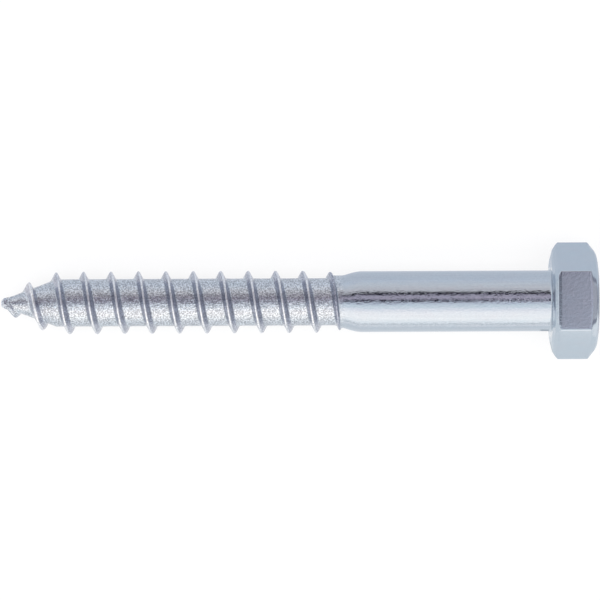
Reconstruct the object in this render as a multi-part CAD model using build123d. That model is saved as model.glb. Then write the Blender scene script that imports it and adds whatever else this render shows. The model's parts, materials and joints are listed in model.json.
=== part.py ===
"""Hex-head lag screw, 10 mm by 90 mm, rolled and forged in one piece of zinc-plated steel.

The screw is drawn along X with its tip at x = 0 and its head at +X, then laid down
the way it rests on a table: on one flat of its head and on the crest of its thread.
"""

import math
import os

from build123d import *

# Lengths along the screw, measured from its tip
LENGTH_UNDER_HEAD = 90.2
HEAD_HEIGHT = 7.5
POINT_LENGTH = 9.1
CORE_END = 54.6
NECK_START = 55.1
NECK_END = 56.0
SHANK_START = 59.1

# Radii of the body; the point's cone would have POINT_RADIUS at x = 0
POINT_RADIUS = 0.45
CORE_RADIUS = 3.88
NECK_RADIUS = 4.32
SHANK_RADIUS = 5.0
UNDER_HEAD_FILLET = 0.8

# Swell from the neck up to the shank, between its ends
SWELL_STATIONS = [(56.7, 4.4), (58.2, 4.88)]

# Blunt lump at the very end, where the point was pinched off
TIP_FACE_RADIUS = 0.6
TIP_RADIUS = 0.88
TIP_ROUNDING = 0.35
TIP_LENGTH = 1.2

# Hexagonal head: the bearing side and the crown are turned back toward the corners
ACROSS_FLATS = 16.7
CORNER_EASING = 0.2
RIM_EASING_DEPTH = 0.2
RIM_EASING_LENGTH = 0.95
BEARING_FACE_RADIUS = 7.3
BEARING_ANGLE = 22.0
CROWN_FACE_RADIUS = 7.75
CROWN_ANGLE = 38.0
CROWN_EASING = 0.7

# Wood thread, right-handed, 52 degrees between its flanks
PITCH = 4.5
FIRST_TURN = -1.85
LAST_TURN = 10.75
CREST_AT_TURN_ZERO = 9.09
CREST_WIDTH = 0.3
FLANK_ANGLE = 26.0
ROOT_OVERLAP = 0.4
STEPS_PER_TURN = 12
RUNOUT_TURN = 9.9
RUNOUT_PITCH_LOSS = 4.0

# Crest radius at a few distances from the tip, joined by straight runs
CREST_STATIONS = [
    (0.7, 0.6),
    (2.4, 2.55),
    (4.66, 3.5),
    (6.86, 4.5),
    (9.1, 5.05),
    (11.3, 5.15),
    (51.0, 5.15),
    (54.0, 4.95),
    (55.6, 4.68),
    (56.2, 4.2),
]


def along(stations, x):
    """Value at x on the straight runs between the stations."""
    if x <= stations[0][0]:
        return stations[0][1]
    for (x0, v0), (x1, v1) in zip(stations, stations[1:]):
        if x <= x1:
            return v0 + (v1 - v0) * (x - x0) / (x1 - x0)
    return stations[-1][1]


def root_radius(x):
    """Radius of the body under the thread."""
    if x < POINT_LENGTH:
        return POINT_RADIUS + (CORE_RADIUS - POINT_RADIUS) * x / POINT_LENGTH
    return CORE_RADIUS


def thread_x(turn):
    """Distance of the crest from the tip, with the lead closing up over the run-out."""
    extra = max(0.0, turn - RUNOUT_TURN)
    return CREST_AT_TURN_ZERO + PITCH * turn - RUNOUT_PITCH_LOSS * extra**2 / 2


def thread_section(turn):
    """Outline of the thread ridge in the half-plane through the axis at this turn."""
    x = thread_x(turn)
    crest = along(CREST_STATIONS, x)
    base = root_radius(x) - min(ROOT_OVERLAP, root_radius(x) / 2)
    half_crest = CREST_WIDTH / 2
    half_base = half_crest + (crest - base) * math.tan(math.radians(FLANK_ANGLE))
    angle = 2 * math.pi * turn
    corners = [
        (x - half_base, base),
        (x - half_crest, crest),
        (x + half_crest, crest),
        (x + half_base, base),
    ]
    points = [Vector(px, r * math.cos(angle), r * math.sin(angle)) for px, r in corners]
    return Wire.make_polygon(points, close=True)


def make_thread():
    """The thread ridge, one lofted solid per turn, each starting where the last ended."""
    start = round(FIRST_TURN * STEPS_PER_TURN)
    end = round(LAST_TURN * STEPS_PER_TURN)
    ridges = []
    for first in range(start, end, STEPS_PER_TURN):
        last = min(first + STEPS_PER_TURN, end)
        sections = [thread_section(step / STEPS_PER_TURN) for step in range(first, last + 1)]
        ridges.append(Solid.make_loft(sections))
    return ridges


def make_body():
    """Point, core, neck, swell and shank, turned about the X axis."""
    bearing_x = LENGTH_UNDER_HEAD
    fillet_r = UNDER_HEAD_FILLET
    fillet_dip = fillet_r * (1 - math.sin(math.radians(45)))
    outline = Polyline(
        (0, 0),
        (0, TIP_FACE_RADIUS),
        (TIP_ROUNDING, TIP_RADIUS),
        (TIP_LENGTH, root_radius(TIP_LENGTH)),
        (POINT_LENGTH, CORE_RADIUS),
        (CORE_END, CORE_RADIUS),
        (NECK_START, NECK_RADIUS),
        (NECK_END, NECK_RADIUS),
        *SWELL_STATIONS,
        (SHANK_START, SHANK_RADIUS),
        (bearing_x - fillet_r, SHANK_RADIUS),
        (bearing_x - fillet_dip, SHANK_RADIUS + fillet_dip),
        (bearing_x, SHANK_RADIUS + fillet_r),
        (bearing_x + HEAD_HEIGHT / 2, SHANK_RADIUS + fillet_r),
        (bearing_x + HEAD_HEIGHT / 2, 0),
        close=True,
    )
    return revolve(make_face(outline), Axis.X)


def make_head_envelope():
    """Round blank the head is cut from: coned bearing side, coned and eased crown."""
    bearing_x = LENGTH_UNDER_HEAD
    crown_x = LENGTH_UNDER_HEAD + HEAD_HEIGHT
    outer = ACROSS_FLATS * 0.7
    bearing_drop = (outer - BEARING_FACE_RADIUS) * math.tan(math.radians(BEARING_ANGLE))
    crown_drop = (outer - CROWN_FACE_RADIUS) * math.tan(math.radians(CROWN_ANGLE))
    outline = Polyline(
        (bearing_x, 0),
        (bearing_x, BEARING_FACE_RADIUS),
        (bearing_x + bearing_drop, outer),
        (crown_x - crown_drop, outer),
        (crown_x, CROWN_FACE_RADIUS),
        (crown_x, 0),
        close=True,
    )
    profile = make_face(outline)
    crown_rim = profile.vertices().sort_by_distance((crown_x, CROWN_FACE_RADIUS, 0))[0]
    return revolve(chamfer(crown_rim, CROWN_EASING), Axis.X)


def make_head():
    """Hexagon with two flats level, its corners and heel eased, cut to the round blank."""
    outline = RegularPolygon(ACROSS_FLATS / 2, 6, major_radius=False)
    block = extrude(Plane.YZ.offset(LENGTH_UNDER_HEAD) * outline, HEAD_HEIGHT)
    block = chamfer(block.edges().filter_by(Axis.X), CORNER_EASING)
    bearing_side = block.faces().sort_by(Axis.X)[0]
    block = chamfer(bearing_side.edges(), RIM_EASING_DEPTH, RIM_EASING_LENGTH, reference=bearing_side)
    return block & make_head_envelope()


def heel_x():
    """Where the head's flats begin, past the bearing cone and the eased rim."""
    return LENGTH_UNDER_HEAD + RIM_EASING_LENGTH


def rest_tilt():
    """Angle that brings the lowest thread crest level with the head's lower flat."""
    tilts = []
    turn = 0.75
    while turn < RUNOUT_TURN:
        x = thread_x(turn)
        gap = ACROSS_FLATS / 2 - along(CREST_STATIONS, x)
        tilts.append(math.degrees(math.atan2(gap, heel_x() - x)))
        turn += 1
    return min(tilts)


def lay_down(screw):
    """Tip the screw onto its thread, then centre it over the origin with its lowest point on z = 0."""
    resting = Rot(0, -rest_tilt(), 0) * screw
    box = resting.bounding_box()
    middle = (box.min + box.max) * 0.5
    return Pos(-middle.X, -middle.Y, -box.min.Z) * resting


def make_screw():
    """The whole screw as one solid, lying at rest."""
    screw = make_body().fuse(make_head(), *make_thread())
    return lay_down(screw)


lag_screw = make_screw()
os.makedirs("parts", exist_ok=True)
export_step(lag_screw, "parts/lag_screw.step")
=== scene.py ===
"""Looks of a zinc-plated hexagon-head lag screw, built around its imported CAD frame.

The screw is one forged and rolled piece, so it is one mesh: a thread screwed out of a
straight profile, a tip, a shank and a hexagonal head grown ring by ring, and a bridge from
shank to head on the bearing face. It is modelled in millimetres along X with its tip at x = 0,
then laid where the frame says the screw lies. The studio round it is in metres.
"""

import json
import logging
import math
from dataclasses import dataclass, field
from enum import Enum

import bpy
import numpy as np
from mathutils import Matrix, Vector, noise


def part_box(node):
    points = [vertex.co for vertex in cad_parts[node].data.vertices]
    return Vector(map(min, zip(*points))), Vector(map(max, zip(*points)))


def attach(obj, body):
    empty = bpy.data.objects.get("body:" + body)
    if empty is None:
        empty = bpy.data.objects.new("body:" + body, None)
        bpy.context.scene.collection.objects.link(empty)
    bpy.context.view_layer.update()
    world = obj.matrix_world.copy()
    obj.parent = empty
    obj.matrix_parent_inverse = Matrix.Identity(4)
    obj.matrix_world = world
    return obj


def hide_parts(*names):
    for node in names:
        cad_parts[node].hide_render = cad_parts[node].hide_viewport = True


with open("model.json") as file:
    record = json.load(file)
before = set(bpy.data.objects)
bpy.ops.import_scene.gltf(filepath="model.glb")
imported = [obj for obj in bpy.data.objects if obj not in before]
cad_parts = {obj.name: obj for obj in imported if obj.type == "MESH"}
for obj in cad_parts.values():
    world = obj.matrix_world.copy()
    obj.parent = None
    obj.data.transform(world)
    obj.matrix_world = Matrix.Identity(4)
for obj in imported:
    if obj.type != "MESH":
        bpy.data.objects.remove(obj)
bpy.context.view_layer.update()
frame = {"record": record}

LOG = logging.getLogger("lag_screw")
MM = 0.001
TURN = 2.0 * math.pi
HALF_SIXTH = math.radians(30.0)
NODE = "lag_screw"

# In millimetres: how near vertices are merged, and how near one counts as on the face and on a ring
MERGE_UNDER = 2e-4
ON_FACE = 1e-4
ON_RING = 1e-3

Span = tuple[float, float]
Color = tuple[float, float, float]


class Zone(Enum):
    """Parts of the one piece that were worked differently, and their material slots."""

    STEM = 0
    HEAD = 1


def smooth_max(a: float, b: float, blend: float) -> float:
    """Larger of two heights, rounded where they cross.

    Args:
        a: First height.
        b: Second height.
        blend: Height that the rounding adds where both are equal.

    Returns:
        The blended height.
    """
    return 0.5 * (a + b + math.sqrt((a - b) ** 2 + 4.0 * blend**2))


def ease(t: float) -> float:
    """Smooth step from 0 to 1, flat at both ends."""
    t = min(1.0, max(0.0, t))
    return t * t * (3.0 - 2.0 * t)


def between(stations: list[Span], x: float) -> float:
    """Value at x on straight runs between stations.

    Args:
        stations: Pairs of position and value, in rising order of position.
        x: Position to read.

    Returns:
        The value there, held constant outside the stations.
    """
    if x <= stations[0][0]:
        return stations[0][1]
    for (x0, v0), (x1, v1) in zip(stations, stations[1:]):
        if x <= x1:
            return v0 + (v1 - v0) * (x - x0) / (x1 - x0)
    return stations[-1][1]


@dataclass(frozen=True)
class Unevenness:
    """Smooth irregularity of the metal, in millimetres; its seed sets it apart from another."""

    height: float
    size: float
    seed: float

    def at(self, x: float, angle: float, radius: float, share: float = 1.0) -> float:
        """Rise or dip of the skin at one spot.

        Args:
            x: Distance from the tip.
            angle: Angle round the axis in radians.
            radius: Radius of the skin there.
            share: Share of the full height that it has there.

        Returns:
            A value of about minus to plus that height.
        """
        spot = Vector((x, radius * math.cos(angle), radius * math.sin(angle))) / self.size
        return share * self.height * noise.noise(spot + Vector((self.seed, -self.seed, 2.0 * self.seed)))


def deselect_all() -> None:
    """Leave object mode with nothing selected."""
    if bpy.context.object and bpy.context.object.mode != "OBJECT":
        bpy.ops.object.mode_set(mode="OBJECT")
    bpy.ops.object.select_all(action="DESELECT")


def pick_vertices(piece: bpy.types.Object, wanted: list[int]) -> None:
    """Select these vertices alone, with their edges, ready for edit mode.

    Args:
        piece: Mesh object, in object mode.
        wanted: Vertex numbers.
    """
    mesh = piece.data
    chosen = np.zeros(len(mesh.vertices), bool)
    chosen[wanted] = True
    mesh.vertices.foreach_set("select", chosen)
    ends = np.empty(2 * len(mesh.edges), np.int32)
    mesh.edges.foreach_get("vertices", ends)
    ends = ends.reshape(-1, 2)
    mesh.edges.foreach_set("select", chosen[ends[:, 0]] & chosen[ends[:, 1]])
    mesh.polygons.foreach_set("select", np.zeros(len(mesh.polygons), bool))


def ring_place(x: float, radius: float, share: float) -> Vector:
    """Point at this distance from the tip, radius and share of a turn round the axis."""
    return Vector((x, radius * math.cos(share * TURN), radius * math.sin(share * TURN)))


def spot_key(place: Vector) -> tuple[float, ...]:
    """Place rounded so that a vertex and its extruded copy have the same key."""
    return tuple(round(c, 5) for c in place)


@dataclass
class Tube:
    """A tube grown ring by ring from a circle of edges, as extruding by hand does."""

    piece: bpy.types.Object
    loop: list[int]

    @classmethod
    def start(cls, name: str, places: list[Vector]) -> "Tube":
        """Add a circle and set its vertices on the first ring.

        Args:
            name: Name of the mesh object.
            places: Place of each vertex of the first ring, in order round the axis.

        Returns:
            The tube, holding its first ring.
        """
        deselect_all()
        bpy.ops.mesh.primitive_circle_add(vertices=len(places), radius=1.0)
        piece = bpy.context.object
        piece.name = name
        for vertex, place in zip(piece.data.vertices, places):
            vertex.co = place
        return cls(piece, list(range(len(places))))

    def grow(self, places: list[Vector]) -> None:
        """Extrude the open ring once and set the new ring where it belongs.

        Args:
            places: Place of each vertex of the new ring, in the order of the open ring.
        """
        mesh = self.piece.data
        pick_vertices(self.piece, self.loop)
        first_new = len(mesh.vertices)
        before = [spot_key(mesh.vertices[i].co) for i in self.loop]
        bpy.ops.object.mode_set(mode="EDIT")
        bpy.ops.mesh.extrude_region_move()
        bpy.ops.object.mode_set(mode="OBJECT")
        fresh = {spot_key(mesh.vertices[i].co): i for i in range(first_new, len(mesh.vertices))}
        self.loop = [fresh[spot] for spot in before]
        for i, place in zip(self.loop, places):
            mesh.vertices[i].co = place

    def close(self, pole: Vector) -> None:
        """Draw the open ring to one point.

        Args:
            pole: Where the tube ends.
        """
        self.grow([pole] * len(self.loop))
        pick_vertices(self.piece, self.loop)
        bpy.ops.object.mode_set(mode="EDIT")
        bpy.ops.mesh.merge(type="CENTER")
        bpy.ops.object.mode_set(mode="OBJECT")


@dataclass
class Thread:
    """Rolled wood thread with its point, from the tip to the plane where the neck begins."""

    # The crest line: how it climbs, and how its pitch closes up over the run-out
    pitch: float = 4.5
    start_turn: float = -1.85
    end_turn: float = 10.75
    crest_at_turn_zero: float = 9.09
    runout_turn: float = 9.9
    runout_loss: float = 4.0

    # The body under the ridge, from the point over the core and the neck to the swell
    point_length: float = 9.1
    point_radius: float = 0.45
    core_radius: float = 3.88
    neck_radius: float = 4.32
    neck_step: float = 0.9
    swell_start: float = 56.2
    swell_end: float = 59.2
    swell_power: float = 1.6
    shank_radius: float = 5.0

    # The ridge: crest radius at distances from the tip, its section, and how far off a flank counts
    crests: list[Span] = field(default_factory=lambda: [
        (0.7, 0.6), (2.4, 2.55), (4.66, 3.5), (6.86, 4.5), (9.1, 5.05),
        (11.3, 5.15), (51.0, 5.15), (54.0, 4.95), (55.6, 4.68), (56.2, 4.2)])
    flank_slope: float = math.tan(math.radians(64.0))
    half_crest: float = 0.12
    crest_rounding: float = 0.035
    root_rounding: float = 0.10
    ridge_height: float = 1.27
    ridge_reach: float = 2.6

    # Its ends: it rises out of the core and sinks back over part of a turn, and starts blunt
    overrun: float = 0.3
    fade_in: float = 0.5
    fade_out: float = 0.4
    sunk_depth: float = 0.3
    blunt_turns: float = 1.0
    blunt_rounding: float = 0.15
    blunt_slope_loss: float = 0.5

    # The point, torn where it was pinched off, with a lump at its end; both count as low on the ridge, so the
    # finish gives them the painted flank shade
    nub_radius: float = 0.9
    ragged_end: float = 3.0
    ragged_fade: float = 2.2
    ragged_lift: float = 0.15
    lump_end: float = 1.5
    lump_fade: float = 0.8
    lump_lift: float = 0.2

    crest_waver: Unevenness = Unevenness(height=0.035, size=3.0, seed=7.0)
    rolled_dents: Unevenness = Unevenness(height=0.012, size=1.1, seed=3.0)
    torn_metal: Unevenness = Unevenness(height=0.15, size=0.45, seed=11.0)

    # The mesh: its two open rings, rings of the tip, facets in a turn, rows beside the crest line
    first_ring: float = 0.5
    last_ring: float = 56.35
    tip_rings: tuple[float, ...] = (0.4, 0.3, 0.21, 0.14, 0.08, 0.04, 0.015)
    steps: int = 128
    spare_turns: int = 2
    half_rows: tuple[float, ...] = (
        0.0, 0.07, 0.115, 0.155, 0.2, 0.27, 0.38, 0.5, 0.6, 0.68, 0.75, 0.83, 0.95, 1.15, 1.5, 1.88, 2.25)

    def crest_x(self, turn: float) -> float:
        """Distance of the crest line from the tip, its pitch closing up over the run-out.

        Args:
            turn: Turns from the place where the count is zero.

        Returns:
            The distance in millimetres.
        """
        extra = max(0.0, turn - self.runout_turn)
        knee = self.end_turn - self.runout_turn
        loss = extra**2 / 2 if extra < knee else knee**2 / 2 + knee * (extra - knee)
        return self.crest_at_turn_zero + self.pitch * turn - self.runout_loss * loss

    def core(self, x: float, share: float) -> float:
        """Radius of the body under the thread.

        Args:
            x: Distance from the tip.
            share: Place round the axis as a share of a turn, from 0 to 1.

        Returns:
            The radius, with the step up to the neck following the last ridge.
        """
        if x < self.point_length:
            return self.point_radius + (self.core_radius - self.point_radius) * x / self.point_length
        if x > self.swell_start:
            return self.swell(x)
        last_turn = math.floor(self.end_turn)
        end_share = self.end_turn - last_turn
        if share < end_share:
            step_x = self.crest_x(last_turn + share)
        else:
            start_x, end_x = self.crest_x(last_turn), self.crest_x(self.end_turn)
            step_x = end_x + (start_x - end_x) * ease((share - end_share) / (1.0 - end_share))
        rise = ease((x - step_x + self.neck_step / 2) / self.neck_step)
        return self.core_radius + (self.neck_radius - self.core_radius) * rise

    def swell(self, x: float) -> float:
        """Radius between the neck and the shank, steepest where it leaves the neck."""
        left = min(1.0, max(0.0, (self.swell_end - x) / (self.swell_end - self.swell_start)))
        return self.shank_radius - (self.shank_radius - self.neck_radius) * left**self.swell_power

    def ridge(self, x: float, share: float) -> float:
        """Height of the nearest thread ridge over the axis, its flanks running on inward.

        Args:
            x: Distance from the tip.
            share: Place round the axis as a share of a turn.

        Returns:
            The height, or 0 where no ridge is near.
        """
        best = 0.0
        first, last = self.start_turn - self.overrun, self.end_turn + self.overrun
        nearest = round((x - self.crest_at_turn_zero) / self.pitch - share)
        for whole in range(nearest - 1, nearest + 3):
            turn = whole + share
            crest_x = self.crest_x(turn)
            if not first <= turn <= last or abs(x - crest_x) > self.ridge_reach:
                continue
            fade = ease((turn - self.start_turn + self.overrun) / self.fade_in)
            fade *= ease((last - turn) / self.fade_out)
            core = self.core(crest_x, share)
            peak = core - self.sunk_depth + (between(self.crests, crest_x) - core + self.sunk_depth) * fade
            peak += self.crest_waver.at(crest_x, share * TURN, self.shank_radius)
            blunt = 1.0 - ease((turn - self.start_turn) / self.blunt_turns)
            rounding = self.crest_rounding + self.blunt_rounding * blunt
            drop = smooth_max(abs(x - crest_x) - self.half_crest, 0.0, rounding)
            best = max(best, peak - drop * self.flank_slope * (1.0 - self.blunt_slope_loss * blunt))
        return best

    def skin(self, x: float, share: float) -> Span:
        """Finished surface at this place.

        Args:
            x: Distance from the tip.
            share: Place round the axis as a share of a turn.

        Returns:
            The radius there, and how far up the ridge it is, from 0 on the core to 1 on the crest.
        """
        core = self.core(x, share)
        radius = smooth_max(core, self.ridge(x, share), self.root_rounding)
        lift = min(1.0, max(0.0, (radius - core) / self.ridge_height))
        angle = share * TURN
        radius += self.rolled_dents.at(x, angle, radius)
        if x < self.ragged_end:
            return self.ragged_point(x, angle, radius, lift)
        return radius, lift

    def ragged_point(self, x: float, angle: float, radius: float, lift: float) -> Span:
        """Surface of the point, torn and lumpy where it was pinched off.

        Args:
            x: Distance from the tip.
            angle: Angle round the axis in radians.
            radius: Radius that the sound surface would have.
            lift: How far up the ridge the place is.

        Returns:
            The radius there, and how far up the ridge it passes for in the finish.
        """
        nub = self.nub_radius * math.sqrt(max(0.0, 1.0 - (x / self.nub_radius - 1.0) ** 2))
        radius = max(radius, nub) if x > self.nub_radius else nub
        lump = ease((self.lump_end - x) / self.lump_fade)
        # Set low on the ridge, the point takes the painted flank shade of the finish
        lift = max(self.ragged_lift * lift, self.lump_lift * lump)
        torn = ease((self.ragged_end - x) / self.ragged_fade) * min(1.0, x)
        return radius + self.torn_metal.at(x, angle, radius, torn), lift

    def build(self) -> bpy.types.Object:
        """Screw a straight profile round the axis, then set its rows on core, flanks and crest.

        Returns:
            The thread section, open at both ends.
        """
        rows = [-u for u in self.half_rows[:0:-1]] + list(self.half_rows)
        first = math.floor(self.start_turn) - self.spare_turns
        last = math.ceil(self.end_turn) + self.spare_turns
        deselect_all()
        bpy.ops.mesh.primitive_plane_add(size=1.0)
        piece = bpy.context.object
        piece.name = NODE + "_skin"
        pick_vertices(piece, [2, 3])
        bpy.ops.object.mode_set(mode="EDIT")
        bpy.ops.mesh.delete(type="VERT")
        bpy.ops.mesh.select_all(action="SELECT")
        bpy.ops.mesh.subdivide(number_cuts=len(rows) - 2)
        bpy.ops.object.mode_set(mode="OBJECT")
        mesh = piece.data
        order = sorted(range(len(mesh.vertices)), key=lambda i: mesh.vertices[i].co.x)
        for i, offset in zip(order, rows):
            mesh.vertices[i].co = (self.pitch * first + offset, 1.0, 0.0)
        turns = piece.modifiers.new("turns", "SCREW")
        turns.axis = "X"
        turns.angle = TURN
        turns.screw_offset = self.pitch
        turns.iterations = last - first
        turns.steps = self.steps
        turns.render_steps = self.steps
        bpy.ops.object.modifier_apply(modifier=turns.name)
        self.merge(piece)
        self.shape(piece)
        self.merge(piece)
        return piece

    def merge(self, piece: bpy.types.Object) -> None:
        """Merge the vertices of the piece that coincide.

        Args:
            piece: Mesh object.
        """
        deselect_all()
        bpy.context.view_layer.objects.active = piece
        bpy.ops.object.mode_set(mode="EDIT")
        bpy.ops.mesh.select_all(action="SELECT")
        bpy.ops.mesh.remove_doubles(threshold=MERGE_UNDER)
        bpy.ops.object.mode_set(mode="OBJECT")

    def shape(self, piece: bpy.types.Object) -> None:
        """Move each vertex of the screwed strip to its row on the rolled surface.

        Args:
            piece: The strip, which also gets each vertex's place up the ridge as lift.
        """
        mesh = piece.data
        lifts = np.zeros(len(mesh.vertices), np.float32)
        for i, vertex in enumerate(mesh.vertices):
            share = round(math.atan2(vertex.co.z, vertex.co.y) / TURN * self.steps) / self.steps % 1.0
            turn = round(vertex.co.x / self.pitch - share) + share
            offset = vertex.co.x - self.pitch * turn
            crest_x = self.crest_x(turn)
            gap = self.crest_x(turn + 1) - crest_x if offset > 0 else crest_x - self.crest_x(turn - 1)
            x = crest_x + offset * gap / self.pitch
            x = min(max(x, self.first_ring), self.last_ring)
            radius, lifts[i] = self.skin(x, share)
            vertex.co = ring_place(x, radius, share)
        lift = mesh.attributes.new("lift", "FLOAT", "POINT")
        lift.data.foreach_set("value", lifts)

    def ring(self, x: float) -> list[Vector]:
        """Places of one ring of the finished surface, in order round the axis."""
        shares = [i / self.steps for i in range(self.steps)]
        return [ring_place(x, self.skin(x, share)[0], share) for share in shares]

    def build_tip(self) -> bpy.types.Object:
        """Close the point with a pinched lump, ring by ring to its end.

        Returns:
            The tip, open where the thread section starts.
        """
        tube = Tube.start(NODE + "_tip", self.ring(self.first_ring))
        for x in self.tip_rings:
            tube.grow(self.ring(x))
        tube.close(Vector((0.0, 0.0, 0.0)))
        return tube.piece


@dataclass
class Shank:
    """Neck, swell and plain shank, with the fillet under the head."""

    thread: Thread
    length: float = 90.2
    fillet: float = 0.45
    rim_radius: float = 6.2

    # The mesh: its rings, and those that keep the fillet's two edges where they are
    swell_rings: int = 14
    plain_rings: int = 26
    fillet_rings: int = 6
    ring_before_fillet: float = 0.15
    ring_after_fillet: float = 0.08

    def profile(self) -> list[Span]:
        """Run of the shank from the neck to the bearing face.

        Returns:
            Pairs of distance from the tip and radius.
        """
        swell_end = self.thread.swell_end
        radius = self.thread.shank_radius
        first = self.thread.last_ring
        end = self.length - self.fillet
        points = []
        for step in range(1, self.swell_rings + 1):
            x = first + (swell_end - first) * step / self.swell_rings
            points.append((x, self.thread.swell(x)))
        for step in range(1, self.plain_rings):
            points.append((swell_end + (end - swell_end) * step / self.plain_rings, radius))
        points.append((end - self.ring_before_fillet, radius))
        for step in range(self.fillet_rings + 1):
            turn = math.radians(90.0 * step / self.fillet_rings)
            rise = self.fillet * (1.0 - math.cos(turn))
            points.append((end + self.fillet * math.sin(turn), radius + rise))
        points.append((self.length, radius + self.fillet + self.ring_after_fillet))
        points.append((self.length, self.rim_radius))
        return points

    def build(self) -> bpy.types.Object:
        """Grow the shank from the end of the thread to the bearing face.

        Returns:
            The shank, open at both ends.
        """
        thread = self.thread
        shares = [i / thread.steps for i in range(thread.steps)]
        tube = Tube.start(NODE + "_shank", thread.ring(thread.last_ring))
        for x, radius in self.profile():
            tube.grow([ring_place(x, radius, share) for share in shares])
        return tube.piece


@dataclass(frozen=True)
class Rim:
    """Rim of the head: how far from its face, how far in from the flats, and its turned radius."""

    depth: float
    inset: float
    turned: float


@dataclass
class Head:
    """Forged hexagonal head with its coned bearing side and crown."""

    bearing_x: float = 90.2
    height: float = 7.5
    across_flats: float = 16.7
    corner_rounding: float = 0.3
    bearing_radius: float = 7.05
    crown_radius: float = 7.3
    crown_corner_cut: float = 0.18
    heel_rims: tuple[Rim, ...] = (Rim(0.33, 0.70, 8.40), Rim(0.84, 0.12, 9.22), Rim(1.18, 0.0, 9.70))
    crown_rims: tuple[Rim, ...] = (Rim(1.23, 0.0, 9.70), Rim(0.45, 0.30, 8.36), Rim(0.10, 0.62, 7.74))
    rim_blend: float = 0.04

    # How far the rounding of each corner of the outline reaches, from bearing face to crown
    reaches: tuple[float, ...] = (0.20, 0.10, 0.10, 0.12, 0.15, 0.13, 0.12, 0.20)
    flat_ends_at: int = 5

    # The mesh: rows on the flat, on each strip and on the crown, and degrees from a corner
    first_radius: float = 6.6
    rounding_steps: int = 4
    flat_rows: tuple[float, ...] = (0.02, 0.15, 0.32, 0.5, 0.68, 0.85, 0.98)
    strip_rows: tuple[float, ...] = (0.15, 0.85)
    crown_rings: tuple[float, ...] = (6.0, 5.2, 4.4, 3.6, 2.6, 1.7, 0.9, 0.35)
    half_sector: tuple[float, ...] = (
        0.0, 0.4, 0.8, 1.2, 1.6, 2.2, 3.2, 4.6, 6.6, 9.2, 12.4, 16.0, 20.2, 25.0, 30.0)

    def shares(self) -> list[float]:
        """Places round the axis, close together at the six corners.

        Returns:
            Shares of a turn, in rising order.
        """
        degrees = []
        for corner in range(6):
            degrees += [60.0 * corner + step for step in self.half_sector]
            degrees += [60.0 * (corner + 1) - step for step in self.half_sector[-2:0:-1]]
        return [d / 360.0 for d in degrees]

    def flat_radius(self, share: float, inset: float = 0.0) -> float:
        """Radius of the hexagon with its rounded corners, corners at shares 0, 1/6 and so on.

        Args:
            share: Place round the axis.
            inset: How far each flat is moved in.

        Returns:
            Distance from the axis.
        """
        half = self.across_flats / 2 - inset
        rounding = self.corner_rounding
        from_corner = (share * 360.0 + 30.0) % 60.0 - 30.0
        away = math.radians(abs(from_corner))
        centre = (half - rounding) / math.cos(HALF_SIXTH)
        edge = math.atan2(rounding / 2, centre + rounding * math.cos(HALF_SIXTH))
        if away < edge:
            return centre * math.cos(away) + math.sqrt(rounding**2 - (centre * math.sin(away)) ** 2)
        return half / math.cos(HALF_SIXTH - away)

    def rim_radius(self, share: float, rim: Rim) -> float:
        """Radius of a rim that runs along the flats and is turned back at the corners."""
        flat = self.flat_radius(share, rim.inset)
        return flat + rim.turned - smooth_max(flat, rim.turned, self.rim_blend)

    def rounded(self, before: Vector, corner: Vector, after: Vector, reach: float) -> list[Vector]:
        """Curve that rounds a corner of the outline.

        Args:
            before: Point before the corner.
            corner: The sharp corner.
            after: Point after the corner.
            reach: How far from the corner the curve starts and ends.

        Returns:
            Points of the curve, with both of its ends.
        """
        start = corner + (before - corner).normalized() * reach
        end = corner + (after - corner).normalized() * reach
        points = []
        for step in range(self.rounding_steps + 1):
            t = step / self.rounding_steps
            points.append(start.lerp(corner, t).lerp(corner.lerp(end, t), t))
        return points

    def outline(self, share: float) -> list[Vector]:
        """Sharp outline of the head in the half-plane at this share of a turn.

        Args:
            share: Place round the axis.

        Returns:
            Pairs of distance from the tip and radius, from the bearing face to the crown.
        """
        half = self.across_flats / 2
        cornered = min(1.0, (self.flat_radius(share) - half) / (half / math.cos(HALF_SIXTH) - half))
        crown_x = self.bearing_x + self.height
        points = [Vector((self.bearing_x, self.first_radius)), Vector((self.bearing_x, self.bearing_radius))]
        for rim in self.heel_rims:
            points.append(Vector((self.bearing_x + rim.depth, self.rim_radius(share, rim))))
        for rim in self.crown_rims:
            cut = rim.depth + (0.0 if rim.inset else self.crown_corner_cut * cornered)
            points.append(Vector((crown_x - cut, self.rim_radius(share, rim))))
        return points + [Vector((crown_x, self.crown_radius)), Vector((crown_x, 0.0))]

    def meridian(self, share: float) -> list[Vector]:
        """Rounded outline of the head with all its rows, the same number at every share.

        Args:
            share: Place round the axis.

        Returns:
            Pairs of distance from the tip and radius, from the bearing face to the crown.
        """
        outline = self.outline(share)
        points = [outline[0]]
        for i, reach in enumerate(self.reaches, start=1):
            curve = self.rounded(*outline[i - 1:i + 2], reach)
            rows = self.flat_rows if i == self.flat_ends_at else self.strip_rows
            points += [points[-1].lerp(curve[0], t) for t in rows]
            points += curve
        crown_x = self.bearing_x + self.height
        return points + [Vector((crown_x, radius)) for radius in self.crown_rings]

    def build(self) -> bpy.types.Object:
        """Grow the head from the bearing face over the flats to the middle of the crown.

        Returns:
            The head, open on its bearing face.
        """
        shares = self.shares()
        outlines = [self.meridian(share) for share in shares]
        rings = []
        for row in zip(*outlines):
            rings.append([ring_place(point.x, point.y, share) for point, share in zip(row, shares)])
        tube = Tube.start(NODE + "_head", rings[0])
        for ring in rings[1:]:
            tube.grow(ring)
        tube.close(Vector((self.bearing_x + self.height, 0.0, 0.0)))
        return tube.piece


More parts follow.
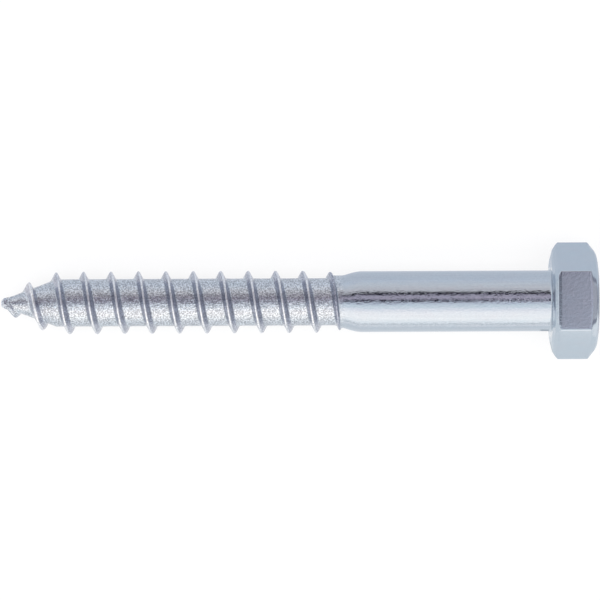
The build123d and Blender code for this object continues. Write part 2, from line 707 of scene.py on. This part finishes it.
class NodeSheet:
    """Short hand for laying out shader nodes in one tree."""

    def __init__(self, tree: bpy.types.NodeTree) -> None:
        """Keep the tree that the nodes go in."""
        self.tree = tree

    @classmethod
    def of_material(cls, material: bpy.types.Material) -> "NodeSheet":
        """Empty a material's node tree to lay out its own nodes.

        Args:
            material: The material.

        Returns:
            The sheet of its tree.
        """
        material.use_nodes = True
        material.node_tree.nodes.clear()
        return cls(material.node_tree)

    def add(self, kind: str, **settings: object) -> bpy.types.Node:
        """Add a node and set its properties.

        Args:
            kind: Node type without the ShaderNode prefix.
            **settings: Properties of the node.

        Returns:
            The new node.
        """
        node = self.tree.nodes.new("ShaderNode" + kind)
        for name, value in settings.items():
            setattr(node, name, value)
        return node

    def join(self, source: object, target: bpy.types.NodeSocket) -> None:
        """Link a socket to another, or set a socket's own value.

        Args:
            source: Socket, number, or linear colour without its alpha.
            target: Socket that is fed.
        """
        if isinstance(source, bpy.types.NodeSocket):
            self.tree.links.new(source, target)
        elif target.type == "RGBA":
            target.default_value = (*source, 1.0)
        else:
            target.default_value = source

    def mix(self, share: object, first: object, second: object, kind: str = "MIX") -> bpy.types.NodeSocket:
        """Blend two colours.

        Args:
            share: Socket or number for the share of the second colour.
            first: Socket or linear colour at 0.
            second: Socket or linear colour at 1.
            kind: Blend type of the Mix node.

        Returns:
            The blended colour.
        """
        node = self.add("Mix", data_type="RGBA", blend_type=kind)
        self.join(share, node.inputs["Factor"])
        self.join(first, node.inputs[6])
        self.join(second, node.inputs[7])
        return node.outputs[2]

    def math(self, operation: str, *values: object) -> bpy.types.NodeSocket:
        """Add a math node.

        Args:
            operation: What the node works out.
            *values: Sockets or numbers that feed it.

        Returns:
            Its result.
        """
        node = self.add("Math", operation=operation)
        for value, socket in zip(values, node.inputs):
            self.join(value, socket)
        return node.outputs[0]

    def attribute(self, name: str) -> bpy.types.NodeSocket:
        """Value of one of the piece's own attributes."""
        return self.add("Attribute", attribute_name=name).outputs["Fac"]

    def rise(self, value: bpy.types.NodeSocket, start: float, end: float) -> bpy.types.NodeSocket:
        """Smooth step of a value.

        Args:
            value: The value.
            start: Where the step leaves 0.
            end: Where it reaches 1.

        Returns:
            Share of 0 to 1.
        """
        node = self.add("MapRange", interpolation_type="SMOOTHSTEP")
        self.join(value, node.inputs["Value"])
        node.inputs["From Min"].default_value = start
        node.inputs["From Max"].default_value = end
        return node.outputs[0]

    def noise(self, place: bpy.types.NodeSocket, scale: tuple[float, float, float], detail: float,
              roughness: float) -> bpy.types.NodeSocket:
        """Noise stretched by a scale along each axis.

        Args:
            place: Position in millimetres.
            scale: Grains per millimetre along each axis.
            detail: Octaves of finer grain.
            roughness: Weight of the finer octaves.

        Returns:
            Value of about 0 to 1.
        """
        stretch = self.add("VectorMath", operation="MULTIPLY")
        self.join(place, stretch.inputs[0])
        stretch.inputs[1].default_value = scale
        texture = self.add("TexNoise", noise_dimensions="3D")
        self.join(stretch.outputs[0], texture.inputs["Vector"])
        texture.inputs["Scale"].default_value = 1.0
        texture.inputs["Detail"].default_value = detail
        texture.inputs["Roughness"].default_value = roughness
        return texture.outputs["Fac"]

    def surface(self, shader: bpy.types.Node) -> None:
        """Make this shader the material's surface."""
        out = self.add("OutputMaterial")
        self.join(shader.outputs[0], out.inputs["Surface"])


def plated_skin_group() -> bpy.types.NodeTree:
    """Node group for the unevenness of rolled and plated steel, built once.

    Returns:
        The group, with masks of 0 to 1 for Tone and Hue and a Height in millimetres.
    """
    group = bpy.data.node_groups.new("plated_skin", "ShaderNodeTree")
    face = group.interface
    face.new_socket("Place", in_out="INPUT", socket_type="NodeSocketVector")
    for name in ("Streaks", "Mottle", "Speckle", "Ripple", "Pits"):
        face.new_socket(name, in_out="INPUT", socket_type="NodeSocketFloat")
    for name in ("Tone", "Hue", "Height"):
        face.new_socket(name, in_out="OUTPUT", socket_type="NodeSocketFloat")
    sheet = NodeSheet(group)
    given = group.nodes.new("NodeGroupInput").outputs
    made = group.nodes.new("NodeGroupOutput").inputs
    place = given["Place"]
    streak = sheet.noise(place, (0.06, 3.0, 3.0), detail=4.0, roughness=0.65)
    cloud = sheet.noise(place, (0.9, 0.9, 0.9), detail=5.0, roughness=0.65)
    hue = sheet.noise(place, (0.33, 0.7, 0.7), detail=3.0, roughness=0.6)
    ripple = sheet.noise(place, (1.5, 2.4, 2.4), detail=2.0, roughness=0.6)
    pits = sheet.noise(place, (4.2, 4.8, 4.8), detail=2.5, roughness=0.6)
    tone = sheet.math("MULTIPLY", sheet.math("SUBTRACT", streak, 0.5), given["Streaks"])
    tone = sheet.math("MULTIPLY_ADD", sheet.math("SUBTRACT", cloud, 0.5), given["Mottle"], tone)
    tone = sheet.math("MULTIPLY_ADD", sheet.math("SUBTRACT", pits, 0.5), given["Speckle"], tone)
    clamp = sheet.add("Clamp")
    sheet.join(sheet.math("ADD", tone, 0.5), clamp.inputs[0])
    sheet.join(clamp.outputs[0], made["Tone"])
    sheet.join(hue, made["Hue"])
    height = sheet.math("MULTIPLY", ripple, given["Ripple"])
    sheet.join(sheet.math("MULTIPLY_ADD", pits, given["Pits"], height), made["Height"])
    return group


@dataclass(frozen=True)
class Worked:
    """Look of zinc plating over steel worked one way; ripple and pits in millimetres."""

    light: Color
    dark: Color
    roughness: float
    roughness_spread: float
    streaks: float
    mottle: float
    speckle: float
    ripple: float
    pits: float


ROLLED = Worked(light=(0.83, 0.87, 0.925), dark=(0.41, 0.43, 0.475), roughness=0.19, roughness_spread=0.10,
                streaks=0.3, mottle=1.1, speckle=5.0, ripple=0.068, pits=0.058)
DRAWN = Worked(light=(0.655, 0.705, 0.765), dark=(0.53, 0.58, 0.65), roughness=0.07, roughness_spread=0.03,
               streaks=0.9, mottle=0.35, speckle=1.0, ripple=0.033, pits=0.014)
FORGED = Worked(light=(0.635, 0.70, 0.77), dark=(0.54, 0.60, 0.67), roughness=0.19, roughness_spread=0.04,
                streaks=0.1, mottle=0.45, speckle=0.5, ripple=0.010, pits=0.006)


@dataclass(frozen=True)
class ZincFinish:
    """Bright zinc plating that runs from one kind of worked steel into another."""

    name: str
    plain: Worked
    rolled: Worked
    warm: Color = (1.0, 0.97, 0.96)
    cool: Color = (0.96, 1.0, 1.0)

    # Up the thread's ridge, as shares of its height: painted shade on the flanks, and a crest lightened
    # partly by burnish and partly by a painted highlight
    flank_shade_rise: Span = (0.04, 0.30)
    flank_painted_shade: Color = (0.78, 0.77, 0.83)
    crest_highlight_from: float = 0.76
    burnish_highlight_patches: float = 0.4
    burnish_and_highlight: Color = (0.97, 0.97, 0.98)

    def make(self, axis: Matrix, skin: bpy.types.NodeTree) -> bpy.types.Material:
        """Build the material.

        Args:
            axis: Matrix from the screw's own millimetres to the frame.
            skin: Node group that draws the unevenness.

        Returns:
            The material, reading Object coordinates turned back to the screw's axis.
        """
        material = bpy.data.materials.new(self.name)
        sheet = NodeSheet.of_material(material)
        rolled = sheet.attribute("rolled")
        worn = sheet.add("Group", node_tree=skin)
        sheet.join(self.own_place(sheet, axis), worn.inputs["Place"])
        for name in ("streaks", "mottle", "speckle", "ripple", "pits"):
            sheet.join(self.worked(sheet, rolled, name), worn.inputs[name.title()])
        dullness = sheet.math("SUBTRACT", 0.5, worn.outputs["Tone"])
        rough = sheet.math("MULTIPLY_ADD", dullness, self.worked(sheet, rolled, "roughness_spread"),
                           self.worked(sheet, rolled, "roughness"))
        bump = sheet.add("Bump")
        bump.inputs["Strength"].default_value = 1.0
        bump.inputs["Distance"].default_value = MM
        sheet.join(worn.outputs["Height"], bump.inputs["Height"])
        metal = sheet.add("BsdfPrincipled")
        metal.inputs["Metallic"].default_value = 1.0
        sheet.join(self.color(sheet, rolled, worn), metal.inputs["Base Color"])
        sheet.join(rough, metal.inputs["Roughness"])
        sheet.join(bump.outputs[0], metal.inputs["Normal"])
        sheet.surface(metal)
        return material

    def own_place(self, sheet: NodeSheet, axis: Matrix) -> bpy.types.NodeSocket:
        """Position on the screw, from Object coordinates.

        Args:
            sheet: Where the nodes go.
            axis: Matrix from the screw's own millimetres to the frame.

        Returns:
            The position in the screw's own millimetres.
        """
        back = axis.inverted()
        mapping = sheet.add("Mapping")
        mapping.inputs["Location"].default_value = back.to_translation()
        mapping.inputs["Rotation"].default_value = back.to_quaternion().to_euler()
        mapping.inputs["Scale"].default_value = (1 / MM, 1 / MM, 1 / MM)
        sheet.join(sheet.add("TexCoord").outputs["Object"], mapping.inputs["Vector"])
        return mapping.outputs[0]

    def color(self, sheet: NodeSheet, rolled: bpy.types.NodeSocket,
              worn: bpy.types.Node) -> bpy.types.NodeSocket:
        """Colour of the plating.

        Args:
            sheet: Where the nodes go.
            rolled: Share of the rolled look.
            worn: The unevenness group in this material.

        Returns:
            The colour, mottled, darkened on the flanks by painted shade and lightened on the crest by burnish
            and a painted highlight.
        """
        tone = worn.outputs["Tone"]
        light = sheet.mix(rolled, self.plain.light, self.rolled.light)
        dark = sheet.mix(rolled, self.plain.dark, self.rolled.dark)
        tint = sheet.mix(worn.outputs["Hue"], self.warm, self.cool)
        plating = sheet.mix(1.0, sheet.mix(tone, dark, light), tint, "MULTIPLY")
        lift = sheet.attribute("lift")
        # Painted shade: the flanks are darkened where the ridge rises from the core
        flank = sheet.mix(sheet.rise(lift, *self.flank_shade_rise), (1.0, 1.0, 1.0), self.flank_painted_shade)
        # Partly burnish, partly painted highlight: the crest is blended towards near-white in patches
        patches = sheet.math("MULTIPLY_ADD", tone, self.burnish_highlight_patches, 1.0 - self.burnish_highlight_patches)
        polish_and_highlight = sheet.math("MULTIPLY", sheet.rise(lift, self.crest_highlight_from, 1.0), patches)
        return sheet.mix(polish_and_highlight, sheet.mix(1.0, plating, flank, "MULTIPLY"), self.burnish_and_highlight)

    def worked(self, sheet: NodeSheet, share: bpy.types.NodeSocket, name: str) -> bpy.types.NodeSocket:
        """Value between the plain and the rolled look for one of their fields.

        Args:
            sheet: Where the nodes go.
            share: Share of the rolled look.
            name: Name of the field.

        Returns:
            The blended value.
        """
        low, high = getattr(self.plain, name), getattr(self.rolled, name)
        return sheet.math("MULTIPLY_ADD", share, high - low, low)


FINISHES = {
    Zone.STEM: ZincFinish("rolled_and_drawn_zinc", DRAWN, ROLLED),
    Zone.HEAD: ZincFinish("forged_head_zinc", FORGED, FORGED),
}


@dataclass
class LagScrew:
    """The whole screw, made of its thread, shank and head and laid at rest."""

    thread: Thread = field(default_factory=Thread)
    head: Head = field(default_factory=Head)

    # Middle of the shank mount, width of the seam under the head, and where the rolled look ends
    mount_middle: float = 74.25
    seam: float = 0.02
    rolled_fade: Span = (54.6, 56.9)

    def build(self) -> bpy.types.Object:
        """Join tip, thread, shank and head into one closed skin and lay it where the frame has it.

        Returns:
            The one visual piece, in metres.
        """
        shank = Shank(self.thread)
        parts = [self.thread.build(), self.thread.build_tip(), shank.build(), self.head.build()]
        deselect_all()
        for part in parts:
            part.select_set(True)
        piece = parts[0]
        bpy.context.view_layer.objects.active = piece
        bpy.ops.object.join()
        self.bridge(piece, shank)
        self.finish_mesh(piece)
        self.zone_faces(piece)
        self.mark_rolled(piece)
        piece.data.transform(self.placement())
        return piece

    def bridge(self, piece: bpy.types.Object, shank: Shank) -> None:
        """Bridge the shank's last ring to the head's first on the bearing face.

        Args:
            piece: The joined parts.
            shank: The shank that was joined to the head.
        """
        rims = (shank.rim_radius, self.head.first_radius)
        chosen = []
        for vertex in piece.data.vertices:
            radius = math.hypot(vertex.co.y, vertex.co.z)
            on_face = abs(vertex.co.x - self.head.bearing_x) < ON_FACE
            if on_face and any(abs(radius - rim) < ON_RING for rim in rims):
                chosen.append(vertex.index)
        pick_vertices(piece, chosen)
        bpy.ops.object.mode_set(mode="EDIT")
        bpy.ops.mesh.bridge_edge_loops()
        bpy.ops.object.mode_set(mode="OBJECT")

    def finish_mesh(self, piece: bpy.types.Object) -> None:
        """Merge the seams, turn all faces outward and shade them smooth.

        Args:
            piece: The joined and bridged parts.
        """
        bpy.ops.object.mode_set(mode="EDIT")
        bpy.ops.mesh.select_all(action="SELECT")
        bpy.ops.mesh.remove_doubles(threshold=MERGE_UNDER)
        bpy.ops.mesh.normals_make_consistent(inside=False)
        bpy.ops.object.mode_set(mode="OBJECT")
        piece.data.polygons.foreach_set("use_smooth", np.ones(len(piece.data.polygons), bool))

    def zone_faces(self, piece: bpy.types.Object) -> None:
        """Give each face the zone it was made in.

        Args:
            piece: The closed skin, not yet laid down.
        """
        for face in piece.data.polygons:
            zone = Zone.HEAD if face.center.x > self.head.bearing_x - self.seam else Zone.STEM
            face.material_index = zone.value

    def mark_rolled(self, piece: bpy.types.Object) -> None:
        """Mark how far each vertex belongs to the rolled thread, fading out over the swell.

        Args:
            piece: The closed skin, not yet laid down.
        """
        mesh = piece.data
        start, end = self.rolled_fade
        shares = np.array([ease((end - v.co.x) / (end - start)) for v in mesh.vertices], np.float32)
        rolled = mesh.attributes.new("rolled", "FLOAT", "POINT")
        rolled.data.foreach_set("value", shares)

    def placement(self) -> Matrix:
        """Where the screw lies, read from the shank mount.

        Returns:
            Matrix from the screw's own millimetres to the frame.
        """
        mounts = {mount["name"]: mount for mount in frame["record"]["mounts"]}
        spot = mounts["shank"]
        along = -Vector(spot["axis"]).normalized()
        across = Vector((0.0, 1.0, 0.0))
        turn = Matrix((along, across, along.cross(across))).transposed()
        origin = Vector(spot["pos_m"]) - along * (self.mount_middle * MM)
        return Matrix.Translation(origin) @ turn.to_4x4() @ Matrix.Scale(MM, 4)

    def dress(self, piece: bpy.types.Object) -> None:
        """Put the finish of each zone in the piece's material slots.

        Args:
            piece: The laid screw.
        """
        axis = self.placement()
        skin = plated_skin_group()
        for zone in Zone:
            piece.data.materials.append(FINISHES[zone].make(axis, skin))


@dataclass(frozen=True)
class Card:
    """Even card, unseen by the camera, that the metal reflects, in metres."""

    name: str
    corners: tuple[Vector, Vector, Vector, Vector]
    color: Color

    @classmethod
    def on_table(cls, name: str, x: Span, y: Span, color: Color, z: float = 0.0002) -> "Card":
        """Card lying over the table at this height, between two places along X and two along Y."""
        corners = ((x[0], y[0], z), (x[1], y[0], z), (x[1], y[1], z), (x[0], y[1], z))
        return cls(name, tuple(Vector(corner) for corner in corners), color)

    @classmethod
    def across_end(cls, name: str, x: float, y: Span, z: Span, color: Color) -> "Card":
        """Card standing across an end of the tent, between two places along Y and two heights."""
        corners = ((x, y[0], z[0]), (x, y[1], z[0]), (x, y[1], z[1]), (x, y[0], z[1]))
        return cls(name, tuple(Vector(corner) for corner in corners), color)

    def hang(self) -> None:
        """Add the card and light its face."""
        deselect_all()
        bpy.ops.mesh.primitive_plane_add(size=1.0)
        card = bpy.context.object
        card.name = self.name
        for vertex, i in zip(card.data.vertices, (0, 1, 3, 2)):
            vertex.co = self.corners[i]
        material = bpy.data.materials.new(self.name)
        sheet = NodeSheet.of_material(material)
        light = sheet.add("Emission")
        sheet.join(self.color, light.inputs["Color"])
        sheet.surface(light)
        card.data.materials.append(material)
        card.visible_camera = False
        card.visible_shadow = False
        card.visible_diffuse = False


@dataclass(frozen=True)
class RoofStrip:
    """Card under the tent's roof: its places along X in metres, and its turns from straight up in degrees."""

    name: str
    x: Span
    turns: Span
    color: Color


@dataclass
class Studio:
    """Table, light tent, reflected cards and camera round the lying screw, in metres."""

    centre: Vector

    # The camera: a long lens looking down, leaning towards the tip
    distance: float = 0.600
    lean: float = math.radians(2.588)
    roll: float = math.radians(0.2558)
    aim: tuple[float, float, float] = (0.000069, 0.000315, 0.0079)
    lens: float = 219.70
    sensor: float = 36.0
    sight: float = 20.0

    # The table, the room and the lamp that whitens the table
    table_size: float = 6.0
    table_color: Color = (0.93, 0.93, 0.93)
    table_glow: float = 0.8
    room_color: Color = (0.90, 0.92, 0.95)
    fill_size: Span = (0.7, 0.7)
    fill_height: float = 0.44
    fill_energy: float = 4.4

    # The tent: its colours by direction from straight up, in degrees, positive towards +Y
    tent_radius: float = 0.45
    tent_x: Span = (-0.62, 0.42)
    tent_sides: int = 144
    table_gap: float = 0.001
    brightest: float = 1.5
    tent_bands: tuple[tuple[float, Color], ...] = (
        (-91.0, (1.17, 1.19, 1.19)),
        (-68.0, (1.40, 1.34, 1.28)),
        (-42.0, (1.33, 1.27, 1.24)),
        (-30.0, (1.09, 1.08, 1.12)),
        (-19.0, (0.89, 0.96, 0.99)),
        (-6.0, (0.72, 0.76, 0.86)),
        (0.0, (0.50, 0.48, 0.56)),
        (8.5, (0.50, 0.45, 0.54)),
        (24.0, (0.52, 0.47, 0.56)),
        (24.6, (0.0, 0.0, 0.01)),
        (34.6, (0.0, 0.0, 0.01)),
        (36.0, (0.62, 0.60, 0.62)),
        (46.0, (0.73, 0.70, 0.72)),
        (64.0, (0.77, 0.78, 0.81)),
        (91.0, (0.71, 0.76, 0.85)),
    )

    # Cards across the tent's ends, split at a height; the upper one at the head has three fields
    tip_split: float = 0.24
    head_split: float = 0.16
    tip_low_color: Color = (1.0, 1.02, 1.05)
    end_color: Color = (0.30, 0.30, 0.36)
    head_fields: tuple[tuple[str, Span, Color], ...] = (
        ("head_end_near", (-1.0, -0.25), (0.86, 0.90, 0.93)),
        ("head_end_middle", (-0.25, 0.25), (0.52, 0.50, 0.54)),
        ("head_end_far", (0.25, 1.0), (0.70, 0.74, 0.80)))

    # Cards on the table: beyond the screw, in front of it, under it and past its head; those under it and
    # past its head are painted shadow of the table, seen only in the metal's reflection
    far_edge: float = 0.0055
    head_edge: float = -0.006
    head_gap_x: Span = (0.0492, 0.0535)
    far_color: Color = (0.68, 0.72, 0.79)
    near_color: Color = (0.80, 0.82, 0.84)
    past_head_shadow_color: Color = (0.48, 0.48, 0.52)
    foot_shadow_color: Color = (0.84, 0.87, 0.90)
    heel_shadow_color: Color = (0.50, 0.54, 0.58)
    gap_shadow_color: Color = (0.12, 0.12, 0.15)

    # Strips under the roof: a dark slit that widens over the shank, a field for the head, a flag
    roof_drop: float = 0.015
    roof_strips: tuple[RoofStrip, ...] = (
        RoofStrip("slit", (-0.62, 0.0275), (-1.2, 7.2), (0.0, 0.0, 0.01)),
        RoofStrip("slit", (0.0275, 0.0386), (-3.0, 8.4), (0.0, 0.0, 0.01)),
        RoofStrip("slit", (0.0386, 0.051), (-1.6, 7.4), (0.01, 0.01, 0.03)),
        RoofStrip("slit", (0.051, 0.0585), (-1.2, 7.2), (0.18, 0.20, 0.27)),
        RoofStrip("head_roof", (0.071, 0.115), (-7.0, 22.0), (0.665, 0.615, 0.69)),
        RoofStrip("flag", (-0.45, -0.14), (-2.0, 9.0), (0.03, 0.03, 0.05)))

    def build(self) -> None:
        """Make everything round the screw."""
        self.table()
        self.room()
        self.tent()
        cards = self.end_cards() + self.table_cards() + self.roof_cards()
        for card in cards:
            card.hang()
        self.fill()
        self.camera()
        bpy.context.scene.view_settings.view_transform = "Standard"
        LOG.info("studio: light tent and %d cards", len(cards))

    def table(self) -> None:
        """White table that keeps the screw's shadow."""
        deselect_all()
        bpy.ops.mesh.primitive_plane_add(size=self.table_size)
        table = bpy.context.object
        table.name = "floor"
        material = bpy.data.materials.new("white_table")
        sheet = NodeSheet.of_material(material)
        path = sheet.add("LightPath")
        seen = sheet.math("MAXIMUM", path.outputs["Is Camera Ray"], path.outputs["Is Glossy Ray"])
        seen = sheet.math("MAXIMUM", seen, path.outputs["Is Transmission Ray"])
        share = sheet.math("MULTIPLY", seen, self.table_glow)
        paint = sheet.add("BsdfDiffuse")
        sheet.join(self.table_color, paint.inputs["Color"])
        white = sheet.add("Emission")
        white.inputs["Strength"].default_value = 1.0
        mix = sheet.add("MixShader")
        sheet.join(share, mix.inputs[0])
        sheet.join(paint.outputs[0], mix.inputs[1])
        sheet.join(white.outputs[0], mix.inputs[2])
        sheet.surface(mix)
        table.data.materials.append(material)

    def room(self) -> None:
        """Even pale room light."""
        world = bpy.data.worlds.new("room")
        bpy.context.scene.world = world
        world.use_nodes = True
        back = world.node_tree.nodes["Background"]
        back.inputs["Color"].default_value = (*self.room_color, 1.0)
        back.inputs["Strength"].default_value = 1.0

    def tent(self) -> None:
        """Half-round light tent over the screw, brightest low on the near side."""
        deselect_all()
        middle = Vector((sum(self.tent_x) / 2, self.centre.y, self.centre.z))
        bpy.ops.mesh.primitive_cylinder_add(
            vertices=self.tent_sides, radius=self.tent_radius, depth=self.tent_x[1] - self.tent_x[0],
            end_fill_type="NOTHING", location=middle, rotation=(0.0, math.radians(90.0), 0.0))
        tent = bpy.context.object
        tent.name = "light_tent"
        bpy.ops.object.transform_apply(location=True, rotation=True, scale=True)
        bpy.ops.object.mode_set(mode="EDIT")
        bpy.ops.mesh.select_all(action="SELECT")
        bpy.ops.mesh.bisect(plane_co=(0.0, 0.0, self.table_gap), plane_no=(0.0, 0.0, 1.0), clear_inner=True)
        bpy.ops.object.mode_set(mode="OBJECT")
        tent.data.materials.append(self.tent_cloth())
        tent.visible_camera = False
        tent.visible_shadow = False

    def tent_cloth(self) -> bpy.types.Material:
        """Glowing cloth whose colour follows the direction it is seen in from the screw.

        Returns:
            The material, its bands blended into each other.
        """
        material = bpy.data.materials.new("light_tent")
        sheet = NodeSheet.of_material(material)
        split = sheet.add("SeparateXYZ")
        sheet.join(sheet.add("TexCoord").outputs["Object"], split.inputs[0])
        height = sheet.math("SUBTRACT", split.outputs[2], self.centre.z)
        turned = sheet.math("ARCTAN2", split.outputs[1], height)
        share = sheet.math("MULTIPLY_ADD", turned, 1.0 / TURN, 0.5)
        ramp = sheet.add("ValToRGB")
        sheet.join(share, ramp.inputs[0])
        marks = ramp.color_ramp.elements
        for angle, _ in self.tent_bands[1:-1]:
            marks.new(angle / 360.0 + 0.5)
        for mark, (angle, color) in zip(marks, self.tent_bands):
            mark.position = angle / 360.0 + 0.5
            mark.color = (*[c / self.brightest for c in color], 1.0)
        light = sheet.add("Emission")
        light.inputs["Strength"].default_value = self.brightest
        sheet.join(ramp.outputs[0], light.inputs["Color"])
        sheet.surface(light)
        return material

    def end_cards(self) -> list[Card]:
        """Lay out the cards across the two ends of the tent.

        Returns:
            The cards, from the tip to the head.
        """
        tip_x, head_x = self.tent_x
        top = self.tent_radius
        whole = (-top, top)
        cards = [
            Card.across_end("tip_end_low", tip_x, whole, (self.table_gap, self.tip_split),
                            self.tip_low_color),
            Card.across_end("tip_end_high", tip_x, whole, (self.tip_split, top), self.end_color),
            Card.across_end("head_end_low", head_x, whole, (self.table_gap, self.head_split), self.end_color),
        ]
        for name, shares, color in self.head_fields:
            y = (top * shares[0], top * shares[1])
            cards.append(Card.across_end(name, head_x, y, (self.head_split, top), color))
        return cards

    def table_cards(self) -> list[Card]:
        """Lay out the cards over the table, two of them a little higher.

        Returns:
            The cards.
        """
        tip_x, head_x = self.tent_x
        gap_end = self.head_gap_x[1]
        past_head = (self.head_edge, self.far_edge)
        return [
            Card.on_table("far_card", self.tent_x, (self.far_edge, self.tent_radius), self.far_color),
            Card.on_table("near_card", self.tent_x, (-0.30, -0.06), self.near_color),
            # Painted shadow, seen only in reflections: the next four cards darken the table past the head,
            # along the shank, under the head and in the gap at the head
            Card.on_table("head_shadow_card", (gap_end, head_x), past_head, self.past_head_shadow_color, z=0.0006),
            Card.on_table("foot_shadow_card", (-0.06, 0.065), (-0.034, self.head_edge), self.foot_shadow_color),
            Card.on_table("heel_shadow_card", (0.0405, 0.0425), (-0.0125, -0.0070), self.heel_shadow_color, z=0.0004),
            Card.on_table("head_gap", self.head_gap_x, past_head, self.gap_shadow_color),
        ]

    def roof_cards(self) -> list[Card]:
        """Lay out the cards hanging under the roof of the tent.

        Returns:
            The cards, in the order of their strips.
        """
        radius = self.tent_radius - self.roof_drop
        cards = []
        for strip in self.roof_strips:
            edges = []
            for turn in strip.turns:
                angle = math.radians(turn)
                edges.append(Vector((0.0, math.sin(angle), math.cos(angle))) * radius)
            near, far = edges
            start, end = [Vector((x, self.centre.y, self.centre.z)) for x in strip.x]
            corners = (start + near, end + near, end + far, start + far)
            cards.append(Card(strip.name, corners, strip.color))
        return cards

    def fill(self) -> None:
        """Overhead lamp that whitens the table and isn't reflected."""
        lamp = bpy.data.lights.new("table_fill", "AREA")
        lamp.shape = "RECTANGLE"
        lamp.size, lamp.size_y = self.fill_size
        lamp.energy = self.fill_energy
        placed = bpy.data.objects.new("table_fill", lamp)
        bpy.context.scene.collection.objects.link(placed)
        placed.location = self.centre + Vector((0.0, 0.0, self.fill_height))
        placed.visible_glossy = False

    def camera(self) -> None:
        """Long lens looking down, leaning a little towards the tip."""
        data = bpy.data.cameras.new("camera")
        data.sensor_width = self.sensor
        data.lens = self.lens
        data.clip_end = self.sight
        holder = bpy.data.objects.new("camera", data)
        bpy.context.scene.collection.objects.link(holder)
        toward = Vector((-math.sin(self.lean), 0.0, math.cos(self.lean)))
        right = Vector((math.cos(self.lean), 0.0, math.sin(self.lean)))
        up = Vector((0.0, 1.0, 0.0))
        axis_x = right * math.cos(self.roll) - up * math.sin(self.roll)
        axis_y = right * math.sin(self.roll) + up * math.cos(self.roll)
        turn = Matrix((axis_x, axis_y, toward)).transposed().to_4x4()
        holder.matrix_world = Matrix.Translation(Vector(self.aim) + toward * self.distance) @ turn
        bpy.context.scene.camera = holder


def main() -> None:
    """Build the screw, dress it and set the studio round it."""
    logging.basicConfig(level=logging.INFO, format="%(name)s: %(message)s")
    screw = LagScrew()
    piece = screw.build()
    screw.dress(piece)
    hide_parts(NODE)
    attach(piece, "root")
    LOG.info("%s: %d faces", piece.name, len(piece.data.polygons))
    low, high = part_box(NODE)
    Studio((low + high) / 2).build()


if __name__ == "__main__":
    main()
